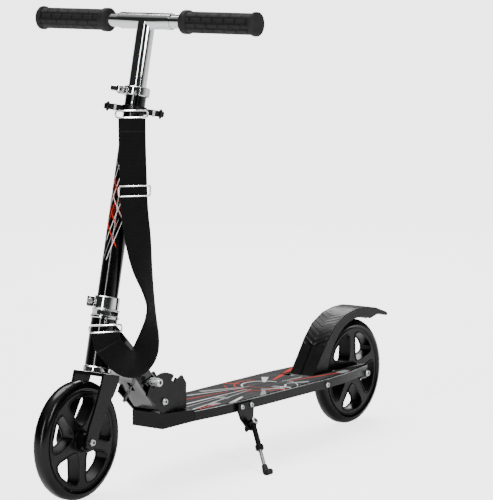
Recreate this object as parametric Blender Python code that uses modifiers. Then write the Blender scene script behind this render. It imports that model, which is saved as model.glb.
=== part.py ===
"""Folding kick scooter with two big wheels, a height-adjustable T-bar, a heel brake,
a side stand and a carry strap.

+X is forward, +Y is the rider's left and +Z is up. The origin is on the ground,
midway between the two axles. All sizes are in metres.
"""
import math

import bmesh
import bpy
from mathutils import Matrix, Vector

# ---------------------------------------------------------------- driving sizes
GAP = 0.0003                      # clearance between pieces that touch

WHEEL_RADIUS = 0.100
AXLE_X = 0.402                    # front axle; the rear axle is at -AXLE_X
TYRE_HALF_WIDTH = 0.0145
RIM_RADIUS = 0.0837
RIM_HALF_WIDTH = 0.012
HUB_RADIUS = 0.017
HUB_HALF_WIDTH = 0.0268
BEARING_RADIUS = 0.0110
BEARING_WIDTH = 0.007
AXLE_RADIUS = 0.0040
SPOKES = 5

DECK_TOP = 0.1145
DECK_BOTTOM = 0.0975
DECK_HALF_WIDTH = 0.066
DECK_FRONT = 0.150
DROPOUT_BOTTOM = 0.089
DROPOUT_OUTER = 0.0440
SLOT_HALF_WIDTH = 0.0280          # slot that holds the rear wheel and the brake
SLOT_FRONT = -0.226
SHEET_THICKNESS = 0.0011
BLOCK_TOP = 0.1175
BLOCK_BOTTOM = 0.0905
BLOCK_FRONT = 0.2126

PIVOT_X = 0.207                   # fold pivot
PIVOT_Z = 0.138
TUBE_ANGLE = math.radians(48)     # down tube above the horizontal
TUBE_HALF_DEPTH = 0.0175
TUBE_HALF_WIDTH = 0.025
TUBE_WALL = 0.0025
FOLD_ANGLE = math.radians(80)
PLATE_RADIUS = 0.050
PLATE_INNER_Y = 0.0285
PLATE_THICKNESS = 0.0040
NOTCH_BOTTOM = 0.0400             # distance from the fold pivot to a notch's floor
LOCK_PIN_RADIUS = 0.0035
LOCK_PIN_REACH = 0.0545           # distance of the released lock pin from the pivot
LOCK_PIN_TRAVEL = 0.0105
LEVER_ALONG = 0.0560              # release lever's root, along the down tube

HEAD_GROUND_X = 0.3976            # where the steering axis meets the ground
HEAD_TILT = math.radians(13.5)    # steering axis leans back
# heights below are measured along the steering axis from the ground
FRONT_AXLE_AHEAD = 0.0276
FRONT_AXLE_UP = 0.0962
CROWN_BOTTOM = 0.2055
CROWN_TOP = 0.2115
HEAD_BOTTOM = 0.2220
HEAD_TOP = 0.3020
STEM_BOTTOM = 0.3395
STEM_TOP = 0.6940
CLAMP_BOTTOM = 0.6790
BAR_UP = 0.8082
CLIP_UP = 0.6560

HEAD_RADIUS = 0.0220
HEAD_BORE = 0.0187
STEERER_RADIUS = 0.0152
STEM_RADIUS = 0.0175
STEM_BORE = 0.0158
POST_RADIUS = 0.0150              # chrome post of the T-bar
POST_BORE = 0.0135
SLEEVE_RADIUS = 0.0139
SLEEVE_BORE = 0.0121
SLEEVE_HALF_LENGTH = 0.055
BAR_RADIUS = 0.0117
BAR_BORE = 0.0100
BAR_HALF_LENGTH = 0.2285
GRIP_START = 0.079
GRIP_END = 0.2320
GRIP_RADIUS = 0.0180
BUTTON_AT = 0.0505
EAR_ANGLE = math.radians(-55)     # clamp ears stand forward and to the right
EAR_REACH = 0.0275
CLIP_TURN = math.radians(45)      # the grip clip's bar against the handlebar
FORK_INNER_Y = 0.0285
FORK_THICKNESS = 0.0045

FENDER_PIVOT_X = -0.238
FENDER_PIVOT_Z = 0.1040
FENDER_HALF_WIDTH = 0.0265
FENDER_GAP = 0.0055               # between the brake's underside and the tyre

KICK_X, KICK_Y, KICK_Z = 0.015, 0.0800, 0.0760
KICK_FOOT = Vector((0.061, 0.1430, 0.0))
KICK_SPLIT = 0.058                # distance down the leg where the sliding rod starts
KICK_BOLTS = ((0.0340, 0.1055), (0.0060, 0.1055))

STRAP_THICKNESS = 0.0020
STRAP_HALF_WIDTH = 0.0232
FACING = math.radians(53)         # the strap's flat side faces forward and left

ALONG_Y = (-math.pi / 2, 0, 0)    # turns a piece's +Z to +Y
SIDE_ON = (math.pi / 2, 0, 0)     # turns an outline drawn in X and Y into X and Z

MATERIALS = {
    "black_paint": ((0.012, 0.012, 0.013), 0.32, 0.6),
    "black_plastic": ((0.016, 0.016, 0.017), 0.45, 0.0),
    "black_rubber": ((0.020, 0.020, 0.021), 0.75, 0.0),
    "gloss_tyre": ((0.014, 0.014, 0.015), 0.28, 0.0),
    "grip_sheet": ((0.075, 0.075, 0.080), 0.85, 0.0),
    "chrome": ((0.82, 0.83, 0.84), 0.10, 1.0),
    "zinc": ((0.62, 0.63, 0.64), 0.32, 1.0),
    "webbing": ((0.015, 0.015, 0.016), 0.90, 0.0),
}


# ---------------------------------------------------------------- tools
def clear_scene():
    for obj in list(bpy.data.objects):
        bpy.data.objects.remove(obj, do_unlink=True)


def new_collection(name):
    group = bpy.data.collections.new(name)
    bpy.context.scene.collection.children.link(group)
    return group


def material(name):
    found = bpy.data.materials.get(name)
    if found:
        return found
    colour, roughness, metallic = MATERIALS[name]
    made = bpy.data.materials.new(name)
    made.use_nodes = True
    shader = made.node_tree.nodes["Principled BSDF"]
    shader.inputs["Base Color"].default_value = (*colour, 1.0)
    shader.inputs["Roughness"].default_value = roughness
    shader.inputs["Metallic"].default_value = metallic
    return made


def empty(name, location, rotation=(0, 0, 0), parent=None):
    made = bpy.data.objects.new(name, None)
    PARTS.objects.link(made)
    made.parent = parent
    made.location = location
    made.rotation_euler = rotation
    return made


def add(name, data, parent=None, location=(0, 0, 0), rotation=(0, 0, 0), look=None):
    """A visible sub-part when it has a look, otherwise a cutter or a tool."""
    obj = bpy.data.objects.new(name, data)
    obj.parent = parent
    obj.location = location
    obj.rotation_euler = rotation
    if look:
        PARTS.objects.link(obj)
        data.materials.append(material(look))
    else:
        CUTTERS.objects.link(obj)
        obj.hide_render = True
        obj.display_type = "WIRE"
    return obj


def mesh_from(name, build):
    mesh = bpy.data.meshes.new(name)
    bm = bmesh.new()
    build(bm)
    bm.to_mesh(mesh)
    bm.free()
    return mesh


def smooth(obj, angle=35):
    """Shades the round faces smooth and leaves the edges crisp."""
    obj.data.shade_smooth()
    obj.data.set_sharp_from_angle(angle=math.radians(angle))
    return obj


def turned(name, profile, parent=None, location=(0, 0, 0), rotation=(0, 0, 0),
           look=None, steps=24, closed=False):
    """A turned piece. profile holds (radius, height) points that run down the outer
    side; a closed profile comes back up the bore."""
    def build(bm):
        points = [bm.verts.new((radius, 0.0, height)) for radius, height in profile]
        for first, second in zip(points, points[1:]):
            bm.edges.new((first, second))
        if closed:
            bm.edges.new((points[-1], points[0]))

    obj = add(name, mesh_from(name, build), parent, location, rotation, look)
    screw = obj.modifiers.new("Screw", "SCREW")
    screw.axis = "Z"
    screw.angle = 2 * math.pi
    screw.steps = steps
    screw.render_steps = steps
    screw.use_merge_vertices = True
    screw.merge_threshold = 0.00001
    screw.use_smooth_shade = True
    return obj


def ring(name, inner, outer, low, high, chamfer=0.0005, **options):
    """A turned tube with small chamfers on its outer edges."""
    profile = [(inner, high), (outer - chamfer, high), (outer, high - chamfer),
               (outer, low + chamfer), (outer - chamfer, low), (inner, low)]
    return turned(name, profile, closed=True, **options)


def bolt(name, shank, head, head_height, low, high, **options):
    """A round-headed bolt along its own Z, its head above high."""
    crown = high + head_height
    profile = [(0, crown), (head * 0.72, crown), (head, high + head_height * 0.45),
               (head, high), (shank, high), (shank, low), (0, low)]
    return turned(name, profile, **options)


def box(name, size, parent=None, location=(0, 0, 0), rotation=(0, 0, 0), look=None,
        bevel=0.0):
    def build(bm):
        bmesh.ops.create_cube(bm, size=1.0, matrix=Matrix.Diagonal((*size, 1.0)))

    obj = add(name, mesh_from(name, build), parent, location, rotation, look)
    if bevel:
        soften(obj, bevel)
    return obj


def soften(obj, width):
    """A one-step bevel on the sharp edges."""
    bevel = obj.modifiers.new("Bevel", "BEVEL")
    bevel.width = width
    bevel.segments = 1
    bevel.limit_method = "ANGLE"
    bevel.angle_limit = math.radians(30)


def cylinder(name, radius, length, parent=None, location=(0, 0, 0), rotation=(0, 0, 0),
             look=None, steps=24):
    def build(bm):
        bmesh.ops.create_cone(bm, cap_ends=True, segments=steps, radius1=radius,
                              radius2=radius, depth=length)

    return add(name, mesh_from(name, build), parent, location, rotation, look)


def plate(name, outlines, thickness, parent=None, location=(0, 0, 0), rotation=(0, 0, 0),
          look=None):
    """Flat outlines, the first one outside and the others holes, made into a closed
    mesh of the given thickness."""
    curve = bpy.data.curves.new(name, "CURVE")
    curve.dimensions = "2D"
    curve.fill_mode = "BOTH"
    curve.extrude = thickness / 2
    for outline in outlines:
        spline = curve.splines.new("POLY")
        spline.points.add(len(outline) - 1)
        for point, (x, y) in zip(spline.points, outline):
            point.co = (x, y, 0.0, 1.0)
        spline.use_cyclic_u = True
    guide = bpy.data.objects.new(name + "_outline", curve)
    CUTTERS.objects.link(guide)
    return welded(name, guide, parent, location, rotation, look)


def welded(name, guide, parent, location, rotation, look):
    """The evaluated shape of a curve as a closed mesh in its place."""
    bpy.context.view_layer.update()
    evaluated = guide.evaluated_get(bpy.context.evaluated_depsgraph_get())
    mesh = bpy.data.meshes.new_from_object(evaluated)
    mesh.name = name
    bm = bmesh.new()
    bm.from_mesh(mesh)
    bmesh.ops.remove_doubles(bm, verts=bm.verts, dist=0.00001)
    bmesh.ops.recalc_face_normals(bm, faces=bm.faces)
    bm.to_mesh(mesh)
    bm.free()
    bpy.data.objects.remove(guide, do_unlink=True)
    mesh.materials.clear()
    return add(name, mesh, parent, location, rotation, look)


def rod(name, points, radius, parent=None, look=None, cyclic=False, sides=8):
    """Bent round wire through the points."""
    curve = bpy.data.curves.new(name, "CURVE")
    curve.dimensions = "3D"
    curve.bevel_depth = radius
    curve.bevel_resolution = (sides - 4) // 2
    curve.use_fill_caps = not cyclic
    spline = curve.splines.new("POLY")
    spline.points.add(len(points) - 1)
    for point, place in zip(spline.points, points):
        point.co = (*place, 1.0)
    spline.use_cyclic_u = cyclic
    guide = bpy.data.objects.new(name + "_path", curve)
    CUTTERS.objects.link(guide)
    return smooth(welded(name, guide, parent, (0, 0, 0), (0, 0, 0), look))


def combine(obj, tool, operation):
    boolean = obj.modifiers.new(tool.name, "BOOLEAN")
    boolean.operation = operation
    boolean.solver = "EXACT"
    boolean.object = tool
    return obj


def cut(obj, *tools):
    for tool in tools:
        combine(obj, tool, "DIFFERENCE")
    return obj


def join(obj, *tools):
    for tool in tools:
        combine(obj, tool, "UNION")
    return obj


def arc(centre, radius, start, end, count):
    """Points on an arc, angles in radians, both ends included."""
    step = (end - start) / (count - 1)
    return [(centre[0] + radius * math.cos(start + step * i),
             centre[1] + radius * math.sin(start + step * i)) for i in range(count)]


def circle(centre, radius, count=24):
    return arc(centre, radius, 0, 2 * math.pi * (1 - 1 / count), count)


def mirrored(half):
    """A closed outline from its +Y half, listed from front to back."""
    return half + [(x, -y) for x, y in reversed(half)]


def polar(angle, radius):
    """A point at an angle and distance from the fold pivot, in the X-Z plane."""
    return (PIVOT_X + radius * math.cos(angle), PIVOT_Z + radius * math.sin(angle))


# ---------------------------------------------------------------- deck
def deck_half_outline(inset=0.0, front=DECK_FRONT, slot_front=SLOT_FRONT):
    """The +Y half of the deck's outline, from the nose back to the slot."""
    width = DECK_HALF_WIDTH - inset
    tip_outer = DROPOUT_OUTER - inset
    tip_inner = SLOT_HALF_WIDTH + inset
    tip_end = -AXLE_X - 0.011 + inset
    return [(front, 0.0545 - inset), (0.090, 0.0615 - inset), (0.030, 0.065 - inset),
            (-0.040, width), (-0.245, width), (-0.300, width - 0.004),
            (-0.350, width - 0.0120), (-AXLE_X, tip_outer), (tip_end, tip_outer - 0.005),
            (tip_end, tip_inner + 0.004), (-AXLE_X, tip_inner), (slot_front, tip_inner)]


def make_deck():
    height = DECK_TOP - DECK_BOTTOM
    middle = (DECK_TOP + DECK_BOTTOM) / 2
    deck = plate("deck_platform", [mirrored(deck_half_outline())], height,
                 location=(0, 0, middle), look="black_paint")
    dropout_width = DROPOUT_OUTER - SLOT_HALF_WIDTH
    dropout_height = DECK_TOP - 0.004 - DROPOUT_BOTTOM
    for side, sign in (("left", 1), ("right", -1)):
        dropout = box("dropout_" + side, (0.028, dropout_width - 0.001, dropout_height),
                      location=(-AXLE_X + 0.005, sign * (SLOT_HALF_WIDTH + dropout_width / 2),
                                DROPOUT_BOTTOM + dropout_height / 2), bevel=0.004)
        join(deck, dropout)
    for side, sign in (("left", 1), ("right", -1)):
        channel = box("channel_" + side, (0.380, 0.0490, height - 0.0060),
                      location=(-0.035, sign * 0.0265, middle))
        cut(deck, channel)
    axle_hole = cylinder("rear_axle_hole", AXLE_RADIUS + 2 * GAP, 0.2,
                         location=(-AXLE_X, 0, WHEEL_RADIUS), rotation=ALONG_Y, steps=16)
    brake_hole = cylinder("brake_bolt_hole", 0.0030 + 2 * GAP, 0.2,
                          location=(FENDER_PIVOT_X, 0, FENDER_PIVOT_Z), rotation=ALONG_Y,
                          steps=12)
    cut(deck, axle_hole, brake_hole)
    for place in KICK_BOLTS:
        hole = cylinder("stand_bolt_hole", 0.0025 + 2 * GAP, 0.024,
                        location=(place[0], DECK_HALF_WIDTH, place[1]), rotation=ALONG_Y,
                        steps=12)
        cut(deck, hole)

    sheet_outline = mirrored(deck_half_outline(0.0035, DECK_FRONT - 0.006, SLOT_FRONT + 0.0035))
    plate("grip_sheet", [sheet_outline], SHEET_THICKNESS,
          location=(0, 0, DECK_TOP + GAP + SHEET_THICKNESS / 2), look="grip_sheet")


def make_front_block():
    """Hinge base at the deck's nose: it narrows and grows deeper to the front."""
    outline = mirrored([(BLOCK_FRONT, 0.0330), (DECK_FRONT + GAP, 0.0540)])
    block = plate("front_block", [outline], BLOCK_TOP - BLOCK_BOTTOM,
                  location=(0, 0, (BLOCK_TOP + BLOCK_BOTTOM) / 2), look="black_paint")
    rise = math.atan2(DECK_BOTTOM - BLOCK_BOTTOM, BLOCK_FRONT - DECK_FRONT)
    wedge = box("block_underside", (0.2, 0.2, 0.04),
                location=(DECK_FRONT, 0, DECK_BOTTOM), rotation=(0, rise, 0))
    drop = wedge.matrix_basis.to_3x3() @ Vector((0, 0, -0.02))
    wedge.location += drop
    cut(block, wedge)


def make_quadrant_plates():
    """Notched plates that carry the fold pivot and hold the lock pin."""
    base = BLOCK_TOP + GAP
    half_notch = LOCK_PIN_RADIUS + 0.0006
    notch_angles = (TUBE_ANGLE, TUBE_ANGLE + FOLD_ANGLE)
    outline = [(0.2120, base)]
    start = math.radians(20)
    for angle in notch_angles:
        spread = half_notch / PLATE_RADIUS
        outline += arc((PIVOT_X, PIVOT_Z), PLATE_RADIUS, start, angle - spread, 9)
        for side in (-1, 1):
            floor = polar(angle, NOTCH_BOTTOM)
            across = (-math.sin(angle) * half_notch * side, math.cos(angle) * half_notch * side)
            outline.append((floor[0] + across[0], floor[1] + across[1]))
        start = angle + spread
    outline += arc((PIVOT_X, PIVOT_Z), PLATE_RADIUS, start, math.radians(139), 3)
    outline += [polar(math.radians(143), 0.0640), (0.1449, 0.1620), (0.1449, base)]
    hole = circle((PIVOT_X, PIVOT_Z), AXLE_RADIUS + 2 * GAP, 16)
    middle = PLATE_INNER_Y + PLATE_THICKNESS / 2
    for side, sign in (("left", 1), ("right", -1)):
        plate("quadrant_plate_" + side, [outline, hole], PLATE_THICKNESS,
              location=(0, sign * middle, 0), rotation=SIDE_ON, look="black_paint")


def cross_bolt(name, nut_name, parent, outer_y, shank, head):
    """A bolt along Y with its head on the left and a nut on the right."""
    low = -outer_y - 0.0065
    bolt(name, shank, head, 0.0040, low, outer_y + GAP, parent=parent, rotation=ALONG_Y,
         look="zinc", steps=16)
    inner = (shank + GAP) / math.cos(math.pi / 6)
    ring(nut_name, inner, head + 0.0005, low + 0.0010, -outer_y - GAP, parent=parent,
         rotation=ALONG_Y, look="zinc", steps=6)


def make_rear_fasteners(rear_axle, fender_axis):
    cross_bolt("rear_axle_bolt", "rear_axle_nut", rear_axle, 0.0455, AXLE_RADIUS, 0.0062)
    bolt("brake_pivot_bolt", 0.0030, 0.0052, 0.0032, -DECK_HALF_WIDTH, DECK_HALF_WIDTH + GAP,
         parent=fender_axis, rotation=ALONG_Y, look="zinc", steps=16)


# ---------------------------------------------------------------- wheels
def spoke_gap(index, first):
    """Rounded triangular gap between two spokes."""
    turn = 2 * math.pi * index / SPOKES + first
    half = [(0.0240, 3), (0.0275, 14), (0.0360, 22), (0.0500, 26.5), (0.0630, 29),
            (0.0715, 27.5), (0.0752, 22), (0.0762, 11)]
    points = [(radius, -angle) for radius, angle in half]
    points += [(radius, angle) for radius, angle in reversed(half)]
    return [(radius * math.cos(turn + math.radians(angle)),
             radius * math.sin(turn + math.radians(angle))) for radius, angle in points]


def make_wheel(prefix, axle, first_gap):
    crown = [(RIM_RADIUS + GAP + 0.0004, 0.0122), (0.0885, TYRE_HALF_WIDTH), (0.0940, 0.0132),
             (0.0978, 0.0098), (WHEEL_RADIUS, 0.0048)]
    profile = crown + [(radius, -height) for radius, height in reversed(crown)]
    turned(prefix + "_tyre", profile, axle, rotation=ALONG_Y, look="gloss_tyre", steps=44,
           closed=True)
    gaps = [spoke_gap(index, first_gap) for index in range(SPOKES)]
    rim = plate(prefix + "_rim", [circle((0, 0), RIM_RADIUS, 44)] + gaps, 2 * RIM_HALF_WIDTH,
                axle, rotation=SIDE_ON, look="black_plastic")
    hub = cylinder(prefix + "_hub", HUB_RADIUS, 2 * HUB_HALF_WIDTH, axle, rotation=SIDE_ON)
    bore = cylinder(prefix + "_bore", BEARING_RADIUS + GAP, 4 * HUB_HALF_WIDTH, axle,
                    rotation=SIDE_ON)
    cut(join(rim, hub), bore)
    bearing_outer = HUB_HALF_WIDTH - 0.0004
    for side, sign in (("left", 1), ("right", -1)):
        ends = sorted((sign * bearing_outer, sign * (bearing_outer - BEARING_WIDTH)))
        ring(prefix + "_bearing_" + side, AXLE_RADIUS + 2 * GAP, BEARING_RADIUS - GAP / 3,
             ends[0], ends[1], parent=axle, rotation=ALONG_Y, look="zinc", steps=16)


# ---------------------------------------------------------------- heel brake
def towards_axle(point, distance):
    """The point moved straight towards the rear axle."""
    centre = Vector((-AXLE_X, WHEEL_RADIUS))
    spoke = Vector(point) - centre
    moved = centre + spoke * (1 - distance / spoke.length)
    return (moved.x, moved.y)


def make_fender(fender_axis):
    """The rear mudguard, an arched shell that is also the heel brake."""
    arch = [(-0.2590, 0.1240), (-0.2760, 0.1470), (-0.2960, 0.1750), (-0.3220, 0.2005),
            (-0.3560, 0.2165), (-0.3900, 0.2225), (-0.4230, 0.2232), (-0.4600, 0.2170)]
    tail = [(-0.4980, 0.2040), (-0.5020, 0.2000), (-0.4990, 0.1965), (-0.4700, 0.2040)]
    lug = arc((FENDER_PIVOT_X, FENDER_PIVOT_Z), 0.0070, math.radians(-110), math.radians(90), 8)
    skirt = arc((-AXLE_X, WHEEL_RADIUS), WHEEL_RADIUS + FENDER_GAP, math.radians(112),
                math.radians(2), 12)
    outline = lug + [(-0.2500, DECK_TOP - 0.0010)] + arch + tail + skirt + [(-0.2900, 0.0985)]
    outline = [(x - FENDER_PIVOT_X, z - FENDER_PIVOT_Z) for x, z in outline]
    fender = plate("heel_brake", [outline], 2 * FENDER_HALF_WIDTH, fender_axis,
                   rotation=SIDE_ON, look="black_plastic")
    inside = [towards_axle(point, 0.0033) for point in arch[1:]]
    inside += [(-0.4640, 0.1400), (-0.2960, 0.0600), (-0.2900, 0.1180)]
    hollow = plate("fender_hollow", [inside], 2 * FENDER_HALF_WIDTH - 0.006,
                   rotation=SIDE_ON)
    pad = box("brake_pad", (0.0300, 0.0360, 0.0300), location=(-0.4300, 0, 0.2060),
              rotation=(0, -0.12, 0))
    room = cylinder("tyre_room", WHEEL_RADIUS + FENDER_GAP, 2 * FENDER_HALF_WIDTH - 0.006,
                    location=(-AXLE_X, 0, WHEEL_RADIUS), rotation=ALONG_Y, steps=44)
    hole = cylinder("brake_pivot_hole", 0.0030 + 2 * GAP, 0.1, fender_axis, rotation=ALONG_Y,
                    steps=12)
    cut(fender, hollow)
    join(fender, pad)
    for sign in (1, -1):
        relief = box("brake_spring_room", (0.020, 0.012, 0.020), fender_axis,
                     (-0.0005, sign * FENDER_HALF_WIDTH, 0))
        cut(fender, relief)
    cut(fender, room, hole)


def make_brake_spring(fender_axis):
    """Torsion spring round the brake's pivot bolt."""
    turns = 3
    per_turn = 8
    pitch = 0.0019
    start = 0.0213
    points = []
    for i in range(turns * per_turn + 1):
        angle = 2 * math.pi * i / per_turn
        points.append((0.0052 * math.cos(angle), start + pitch * i / per_turn,
                       0.0052 * math.sin(angle)))
    rod("brake_spring", points, 0.0008, fender_axis, "zinc", sides=8)


# ---------------------------------------------------------------- side stand
def make_stand_bracket():
    """Plate bolted to the deck's left side, with a shroud over the stand's pivot."""
    inner = DECK_HALF_WIDTH + GAP
    outline = [(0.0430, 0.0990), (0.0430, 0.1110), (-0.0020, 0.1110), (-0.0020, 0.0990),
               (0.0000, 0.0800), (0.0090, 0.0690), (0.0210, 0.0690), (0.0350, 0.0830)]
    holes = [circle(place, 0.0025 + 2 * GAP, 12) for place in KICK_BOLTS]
    bracket = plate("stand_bracket", [outline] + holes, 0.0040,
                    location=(0, inner + 0.0020, 0), rotation=SIDE_ON, look="black_paint")
    shroud = cylinder("stand_shroud", 0.0110, 0.0040, STAND_PIVOT, (0, 0, -0.0080))
    boss = cylinder("stand_boss", 0.0060, 0.0200, STAND_PIVOT, (0, 0, -0.0162))
    hole = cylinder("stand_pivot_hole", 0.0025 + 2 * GAP, 0.0400, STAND_PIVOT, steps=12)
    trim = box("bracket_trim", (0.2, 0.05, 0.2), location=(0, inner - 0.025, 0.09))
    join(bracket, boss, shroud)
    cut(bracket, trim, hole)
    for name, place in zip(("stand_bolt_front", "stand_bolt_rear"), KICK_BOLTS):
        bolt(name, 0.0025, 0.0046, 0.0028, -0.0112, 0.0040 + GAP,
             location=(place[0], inner, place[1]), rotation=ALONG_Y, look="zinc", steps=16)


def stand_axes():
    """Directions of the lowered leg and of its pivot, which lays it along the deck."""
    leg = (KICK_FOOT - Vector((KICK_X, KICK_Y, KICK_Z))).normalized()
    pivot = leg.cross(Vector((-1, 0, 0))).normalized()
    return leg, pivot


def make_stand_pivot():
    """An empty on the pivot: its Z is the pivot axis and its X runs down the leg."""
    leg, pivot = stand_axes()
    across = pivot.cross(leg)
    turn = Matrix((leg, across, pivot)).transposed()
    return empty("stand_pivot", (KICK_X, KICK_Y, KICK_Z), turn.to_euler())


def make_stand_leg():
    eye_height = 0.0110
    eye = ring("stand_leg_upper", 0.0025 + 2 * GAP, 0.0072, -eye_height / 2, eye_height / 2,
               parent=STAND_PIVOT, look="black_paint", steps=20)
    shaft = cylinder("stand_shaft", 0.0047, KICK_SPLIT - 0.006, STAND_PIVOT,
                     ((KICK_SPLIT + 0.006) / 2, 0, 0), (0, math.pi / 2, 0), steps=16)
    bore = cylinder("stand_shaft_bore", 0.0036, 0.0400, STAND_PIVOT,
                    (KICK_SPLIT, 0, 0), (0, math.pi / 2, 0), steps=16)
    cut(join(eye, shaft), bore)
    bolt("stand_pivot_bolt", 0.0025, 0.0062, 0.0030, -0.0180, eye_height / 2 + GAP,
         parent=STAND_PIVOT, look="zinc", steps=16)
    down = (0, math.pi / 2, 0)
    ring("stand_collar", 0.0050, 0.0074, KICK_SPLIT - 0.009, KICK_SPLIT - 0.001,
         parent=STAND_PIVOT, rotation=down, look="black_plastic", steps=16)
    length = (KICK_FOOT - Vector((KICK_X, KICK_Y, KICK_Z))).length
    cylinder("stand_leg_lower", 0.0033, length - 0.012 - 0.042, STAND_PIVOT,
             ((0.042 + length - 0.012) / 2, 0, 0), down, look="zinc", steps=16)
    make_stand_foot(length)


def make_stand_foot(length):
    """Rubber shoe with a curved toe, flat where it meets the ground."""
    cap = turned("stand_foot", [(0, length + 0.001), (0.0056, length + 0.001),
                                (0.0064, length - 0.004), (0.0050, length - 0.018),
                                (0.0036, length - 0.018), (0.0036, length - 0.0115),
                                (0, length - 0.0115)],
                 parent=STAND_PIVOT, rotation=(0, math.pi / 2, 0), look="black_rubber",
                 steps=16)
    toe = box("stand_toe", (0.020, 0.0105, 0.010),
              location=(KICK_FOOT.x + 0.001, KICK_FOOT.y + 0.004, 0.0045), bevel=0.0025)
    ground = box("ground", (0.4, 0.4, 0.05), location=(KICK_FOOT.x, KICK_FOOT.y, -0.025))
    cut(join(cap, toe), ground)


# ---------------------------------------------------------------- folding frame
def make_down_tube(fold_axis, steering_axis):
    """Box-section down tube that widens into a gusset behind the head tube."""
    along = Vector((math.cos(TUBE_ANGLE), math.sin(TUBE_ANGLE)))
    out = Vector((math.sin(TUBE_ANGLE), -math.cos(TUBE_ANGLE)))
    half_turn = arc((0, 0), TUBE_HALF_DEPTH, TUBE_ANGLE + math.pi / 2,
                    TUBE_ANGLE + 3 * math.pi / 2, 9)
    front_corner = along * 0.0815 + out * TUBE_HALF_DEPTH
    rear_corner = along * 0.1120 - out * TUBE_HALF_DEPTH
    outline = half_turn + [front_corner, head_point(0.2240), head_point(0.2960), rear_corner]
    outline = [(point[0], point[1]) for point in outline]
    tube = plate("down_tube", [outline], 2 * TUBE_HALF_WIDTH, fold_axis, rotation=SIDE_ON,
                 look="black_paint")
    soften(tube, 0.0015)
    seat = cylinder("head_tube_seat", HEAD_RADIUS + GAP, 0.4, steering_axis,
                    (0, 0, 0.26), steps=32)
    cup_room = cylinder("lower_cup_room", 0.0252, 0.020, steering_axis,
                        (0, 0, HEAD_BOTTOM - 0.010), steps=32)
    tilt = (0, -TUBE_ANGLE, 0)
    inside = (2 * TUBE_HALF_WIDTH - 2 * TUBE_WALL, 2 * TUBE_HALF_DEPTH - 2 * TUBE_WALL)
    hollow = box("tube_hollow", (0.140, *inside), fold_axis,
                 (along.x * 0.035, 0, along.y * 0.035), tilt)
    slot_length = LOCK_PIN_TRAVEL + 2 * LOCK_PIN_RADIUS + 0.0016
    slot_middle = LOCK_PIN_REACH - LOCK_PIN_TRAVEL / 2
    slot = box("lock_slot", (slot_length, 0.1, 2 * LOCK_PIN_RADIUS + 0.0010), fold_axis,
               (along.x * slot_middle, 0, along.y * slot_middle), tilt)
    hole = cylinder("fold_bolt_hole", AXLE_RADIUS + 2 * GAP, 0.2, fold_axis,
                    rotation=ALONG_Y, steps=16)
    lever_room = box("lever_slot", (0.022, 0.0070, 0.0200), fold_axis,
                     (along.x * LEVER_ALONG + out.x * TUBE_HALF_DEPTH, 0,
                      along.y * LEVER_ALONG + out.y * TUBE_HALF_DEPTH), tilt)
    cut(tube, seat, cup_room, hollow, slot, hole, lever_room)


def head_point(height):
    """A point on the steering axis, in X and Z from the fold pivot."""
    return (HEAD_GROUND_X - height * math.sin(HEAD_TILT) - PIVOT_X,
            height * math.cos(HEAD_TILT) - PIVOT_Z)


def make_head(axis):
    ring("head_tube", HEAD_BORE, HEAD_RADIUS, HEAD_BOTTOM, HEAD_TOP, parent=axis,
         look="black_paint", steps=32)
    ring("lower_cup", STEERER_RADIUS + 2 * GAP, 0.0240, CROWN_TOP + GAP, HEAD_BOTTOM - GAP,
         chamfer=0.0020, parent=axis, look="chrome")
    ring("upper_cup", STEERER_RADIUS + 2 * GAP, 0.0243, HEAD_TOP + GAP, HEAD_TOP + 0.0055,
         chamfer=0.0012, parent=axis, look="chrome")


def make_lock(fold_axis):
    """Lock pin across the down tube and the small lever that draws it."""
    along = Vector((math.cos(TUBE_ANGLE), 0, math.sin(TUBE_ANGLE)))
    out = Vector((math.sin(TUBE_ANGLE), 0, -math.cos(TUBE_ANGLE)))
    knob_start = PLATE_INNER_Y + PLATE_THICKNESS + 0.0010
    knob_end = 0.0530
    knob = 0.0074
    half = [(0, knob_end), (knob - 0.0012, knob_end), (knob, knob_end - 0.0012),
            (knob, knob_start), (LOCK_PIN_RADIUS, knob_start)]
    profile = half + [(radius, -height) for radius, height in reversed(half)]
    turned("lock_pin", profile, fold_axis, along * LOCK_PIN_REACH, ALONG_Y, "chrome", 16)
    root = along * LEVER_ALONG + out * (TUBE_HALF_DEPTH - 0.0030)
    tip = root + out * 0.0330 - along * 0.0040
    bend = root + out * 0.0060
    rod("release_lever", [root, bend, tip], 0.0030, fold_axis, "zinc", sides=8)


# ---------------------------------------------------------------- fork and stem
def make_fork(axis):
    """Flat-bar fork: two legs that lean forward and a crown plate."""
    end_radius = 0.0140
    centre = (FRONT_AXLE_AHEAD, FRONT_AXLE_UP)
    outline = [(-0.0205, CROWN_TOP - GAP), (-0.0205, 0.2010), (-0.0130, 0.1790),
               (-0.0030, 0.1630), (0.0040, 0.1400)]
    outline += arc(centre, end_radius, math.radians(165), math.radians(375), 14)
    outline += [(0.0385, 0.1230), (0.0325, 0.1430), (0.0270, 0.1700), (0.0225, 0.1950),
                (0.0215, CROWN_TOP - GAP)]
    hole = circle(centre, AXLE_RADIUS + 2 * GAP, 16)
    middle = FORK_INNER_Y + FORK_THICKNESS / 2
    crown = plate("fork", [[(-0.0200, -0.0325), (0.0210, -0.0325), (0.0210, 0.0325),
                            (-0.0200, 0.0325)], circle((0, 0), 0.0100)],
                  CROWN_TOP - CROWN_BOTTOM, axis, (0, 0, (CROWN_TOP + CROWN_BOTTOM) / 2),
                  look="black_paint")
    for side, sign in (("left", 1), ("right", -1)):
        leg = plate("fork_leg_" + side, [outline, hole], FORK_THICKNESS, axis,
                    (0, sign * middle, 0), SIDE_ON)
        join(crown, leg)


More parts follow.
